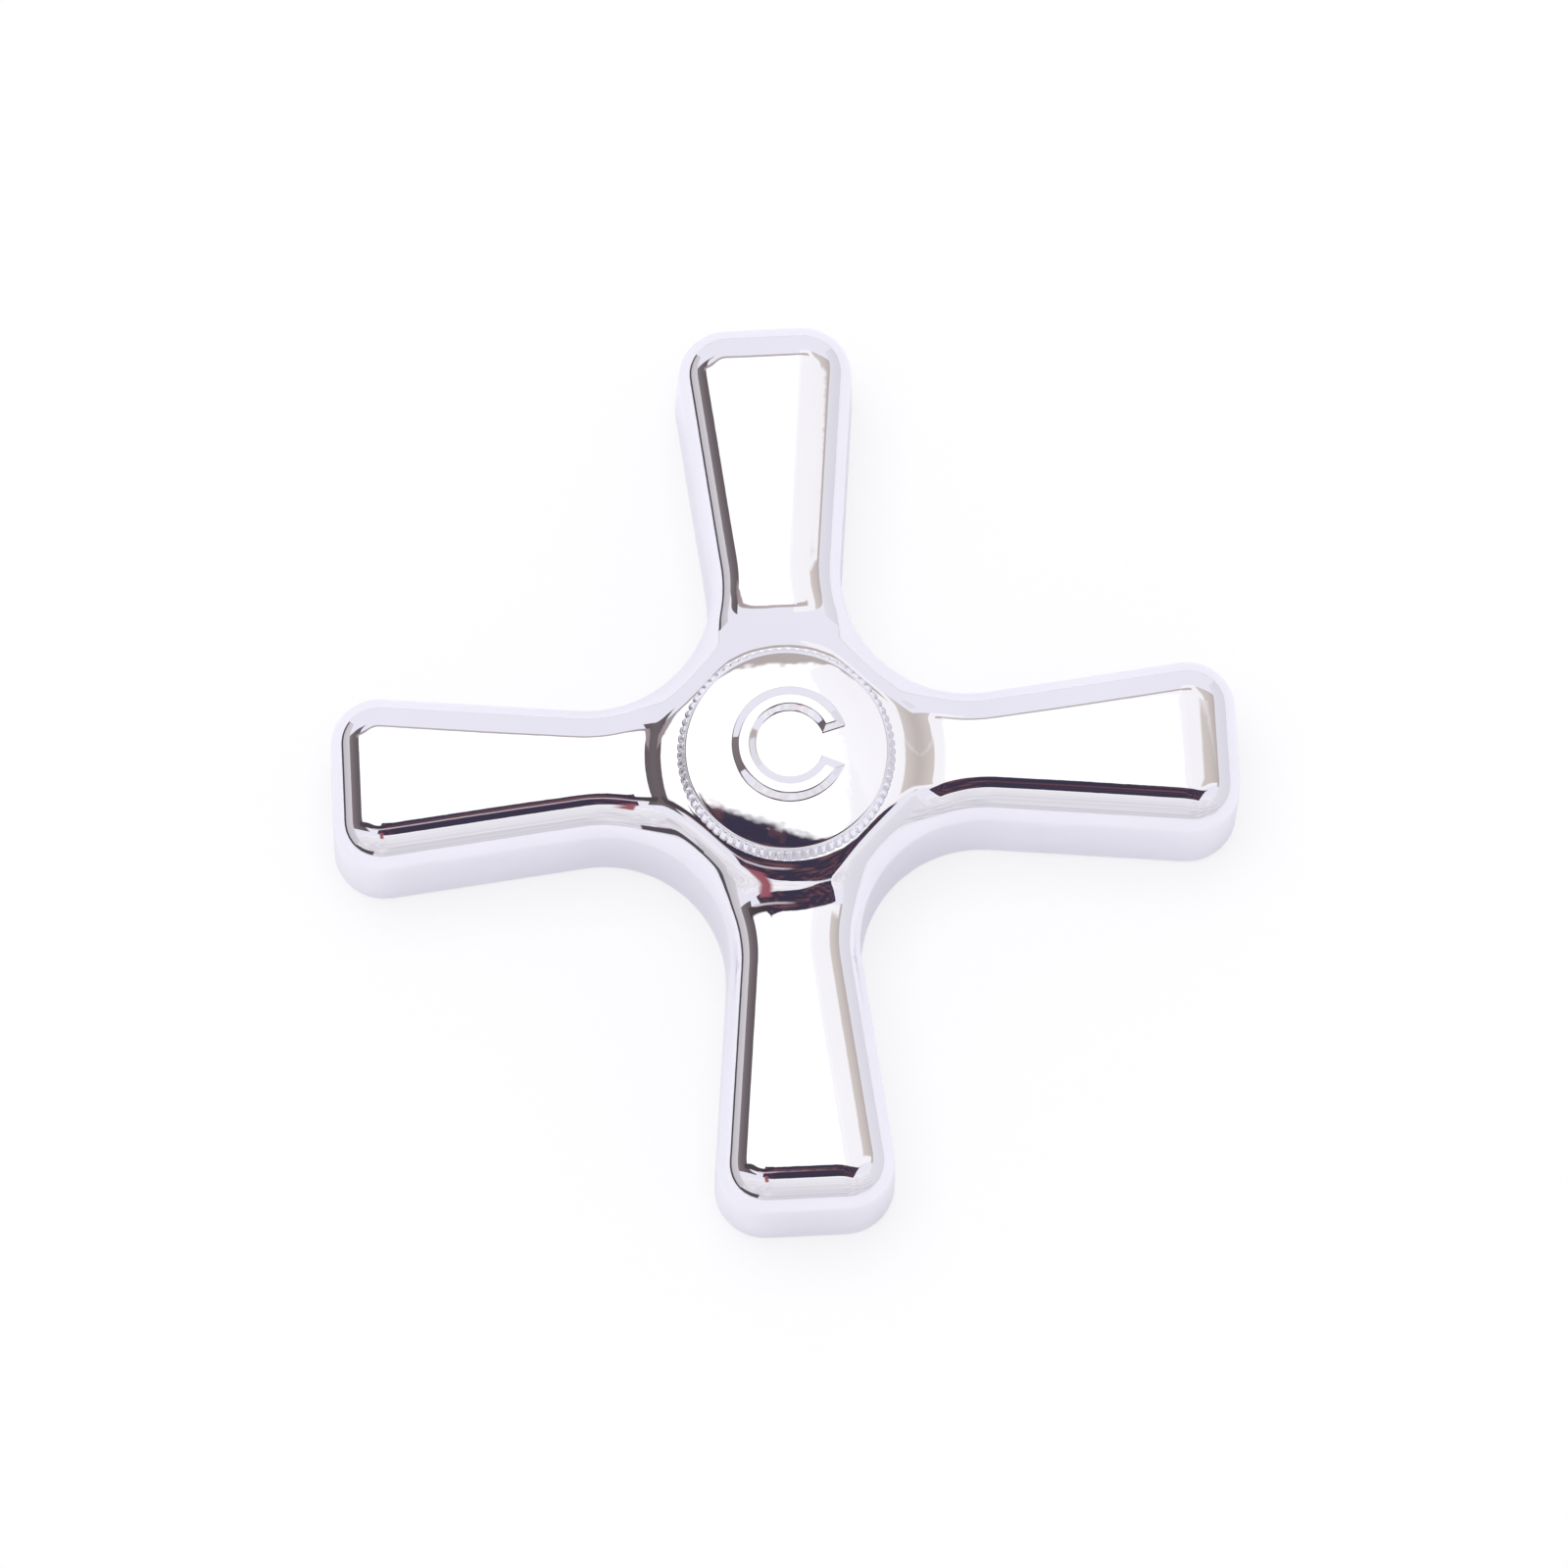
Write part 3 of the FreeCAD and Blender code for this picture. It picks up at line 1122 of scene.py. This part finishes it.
@dataclass
class Studio:
    """A white table under soft light, with the cards that the chrome mirrors. Sizes are in metres."""

    table_side: float = 8.0
    table_height: float = -0.0001
    table_colour: Colour = (0.918, 0.908, 0.975)
    table_glow: float = 0.7
    table_glow_mirrored: float = 0.2
    room_light: float = 0.72
    room_mirrored: Colour = (0.93, 0.92, 1.0)
    lamp_power: float = 2.4
    lamp_side: float = 0.5
    lamp_place: tuple[float, float, float] = (-0.1, 0.1, 0.7)
    ceiling: float = 0.6
    upper_gap: float = 0.03
    lower_gap: float = 0.01
    high_gap: float = 0.65

    def cards(self) -> list[Card]:
        """The cards, from the softbox outwards. Those that overlap hang a few millimetres apart.

        Returns:
            Every card.
        """
        top = self.ceiling
        above, under, high = top + self.upper_gap, top - self.lower_gap, top + self.high_gap
        return [
            Card("softbox", (-0.152, 0.1385, top), (0.48, 0.237),
                 (1.25, 1.25, 1.25), (1.25, 1.25, 1.25), feather=0.006),
            Card("softbox_fall", (0.1, 0.16, top - 0.003), (0.045, 0.2),
                 (1.1, 1.09, 1.11), (1.05, 1.04, 1.06), feather=0.003, turn=20.0),
            Card("far_edge", (-0.16, 0.285, above - 0.005), (0.74, 0.085),
                 (0.34, 0.28, 0.29), (0.6, 0.54, 0.52), feather=0.015),
            Card("cream_panel", (0.86, 0.42, high + 0.03), (1.48, 1.04),
                 (1.06, 1.05, 1.07), (1.02, 1.0, 1.0), feather=0.02),
            Card("beige_panel", (1.14, 0.6375, high), (1.04, 0.535),
                 (0.72, 0.66, 0.63), (0.52, 0.46, 0.44), feather=0.03),
            Card("beige_edge", (1.46, 0.35, high - 0.006), (0.4, 1.1),
                 (0.62, 0.56, 0.54), (0.5, 0.44, 0.43), feather=0.06),
            Card("beige_low", (0.188, 0.0357, 0.22), (0.17, 0.0673),
                 (0.72, 0.66, 0.62), (0.54, 0.48, 0.45), feather=0.009),
            Card("near_shade", (0.08, -0.157, under), (0.52, 0.335),
                 (0.05, 0.042, 0.075), (0.2, 0.085, 0.09), feather=0.01,
                 mottle=1.0, mottle_scale=19.0, mottle_span=(0.5, 0.64), turn=-22.0),
            Card("near_left_shade", (-0.3, -0.022, under - 0.006), (0.42, 0.12),
                 (0.1, 0.08, 0.09), (0.06, 0.045, 0.06), feather=0.015),
            Card("near_streak", (-0.13, -0.078, under - 0.02), (0.3, 0.05),
                 (0.8, 0.74, 0.78), (0.6, 0.5, 0.55), feather=0.018),
            Card("red_patch", (-0.12, -0.29, under - 0.01), (0.12, 0.25),
                 (0.4, 0.15, 0.18), (0.36, 0.1, 0.13), feather=0.035),
            Card("left_shade", (-0.745, 0.16, above), (0.74, 0.7),
                 (0.26, 0.22, 0.23), (0.13, 0.11, 0.12), feather=0.01),
            Card("left_wall", (-1.6, 0.2, 0.5), (0.84, 3.0),
                 (0.74, 0.71, 0.74), (0.6, 0.57, 0.6), feather=0.004, lie=Lie.FACING_SIDE),
            Card("left_skirting", (-1.58, 0.2, 0.1), (0.2, 3.0),
                 (0.1, 0.09, 0.1), (0.1, 0.09, 0.1), feather=0.004, lie=Lie.FACING_SIDE),
            Card("right_wall", (1.6, 0.2, 0.66), (1.32, 3.0),
                 (0.86, 0.85, 0.9), (0.8, 0.79, 0.85), feather=0.004, lie=Lie.FACING_SIDE),
            Card("near_wall", (0, -1.2, 1.2), (4.0, 2.4),
                 (0.66, 0.64, 0.7), (1.12, 1.1, 1.12), feather=0.004, lie=Lie.FACING_FRONT,
                 upward=True, mottle=0.42, mottle_scale=2.4, mottle_stretch=3.2),
            Card("near_skirting", (-1.25, -1.18, 0.17), (1.5, 0.34),
                 (0.1, 0.09, 0.1), (0.1, 0.08, 0.09), feather=0.05, lie=Lie.FACING_FRONT),
        ]

    def lay_table(self) -> None:
        """Lay the pale table top that the handle rests on."""
        bpy.ops.object.select_all(action="DESELECT")
        bpy.ops.mesh.primitive_plane_add(size=self.table_side, location=(0, 0, self.table_height))
        table = bpy.context.object
        table.name = "table"
        material = bpy.data.materials.new("white_table")
        material.use_nodes = True
        board = NodeBoard(material.node_tree)
        nodes = material.node_tree.nodes
        nodes.remove(nodes["Principled BSDF"])
        from_camera, mirrored = board.ray_kinds()
        share = board.math("MAXIMUM", board.math("MULTIPLY", from_camera, self.table_glow),
                           board.math("MULTIPLY", mirrored, self.table_glow_mirrored))
        matt = board.add("BsdfDiffuse", {"Color": (*self.table_colour, 1)})
        glow = board.add("Emission", {"Color": board.tint(mirrored, WHITE, self.room_mirrored)})
        blend = board.add("MixShader", {"Fac": share, 1: matt.outputs[0], 2: glow.outputs[0]})
        board.fill(nodes["Material Output"], {"Surface": blend.outputs[0]})
        table.data.materials.append(material)

    def light_room(self) -> None:
        """Fill the room with soft light and hang one large lamp over the table."""
        world = bpy.data.worlds.new("room")
        world.use_nodes = True
        bpy.context.scene.world = world
        board = NodeBoard(world.node_tree)
        from_camera, mirrored = board.ray_kinds()
        seen = board.math("MAXIMUM", from_camera, mirrored)
        board.fill(world.node_tree.nodes["Background"],
                   {"Color": board.tint(mirrored, WHITE, self.room_mirrored),
                    "Strength": board.spread(seen, (0.0, 1.0), (self.room_light, 1.0))})
        bpy.ops.object.light_add(type="AREA", location=self.lamp_place)
        lamp = bpy.context.object
        lamp.data.energy = self.lamp_power
        lamp.data.size = self.lamp_side
        lamp.visible_glossy = False
        lamp.visible_camera = False

    def build(self) -> None:
        """Set the whole studio."""
        self.lay_table()
        self.light_room()
        for card in self.cards():
            card.place()
        bpy.context.scene.view_settings.view_transform = "Standard"


@dataclass(frozen=True)
class PhotoView:
    """The camera that took the photograph, from its fit to the handle's outline.

    Angles are in degrees, the distance is in metres and the sensor in millimetres.
    """

    tilt: float = 13.598
    turn: float = 2.725
    lean: float = 0.934
    distance: float = 0.7
    pixels_per_mm: float = 13.134
    frame_pixels: float = 1600.0
    origin_pixel: tuple[float, float] = (799.601, 811.11)
    sensor: float = 36.0

    def place(self) -> None:
        """Stand the camera and make it the scene's."""
        tilt, turn, lean = (math.radians(angle) for angle in (self.tilt, self.turn, self.lean))
        level = Vector((math.cos(turn), -math.sin(turn), 0))
        up = Vector((math.sin(turn) * math.cos(tilt), math.cos(turn) * math.cos(tilt), math.sin(tilt)))
        upright = level.cross(up)
        right = level * math.cos(lean) + upright * math.sin(lean)
        back = upright * math.cos(lean) - level * math.sin(lean)
        metres_per_pixel = METRES_PER_MM / self.pixels_per_mm
        middle = self.frame_pixels / 2
        beside, above = middle - self.origin_pixel[0], self.origin_pixel[1] - middle
        aim = (right * beside + up * above) * metres_per_pixel
        facing = Matrix((right, up, back)).transposed()
        bpy.ops.object.camera_add(location=aim + back * self.distance, rotation=facing.to_euler())
        camera = bpy.context.object
        camera.data.sensor_width = self.sensor
        camera.data.lens = self.sensor * self.distance / (self.frame_pixels * metres_per_pixel)
        bpy.context.scene.camera = camera


def main() -> None:
    """Build every piece and set the stage."""
    logging.basicConfig(level=logging.INFO)
    dress(CrossBody().build(), BODY_CHROME, "handle_body")
    dress(IndexCap().build(), CAP_CHROME, "index_cap")
    dress(FixingScrew().build(), SCREW_BRASS, "fixing_screw")
    Studio().build()
    PhotoView().place()


if __name__ == "__main__":
    main()
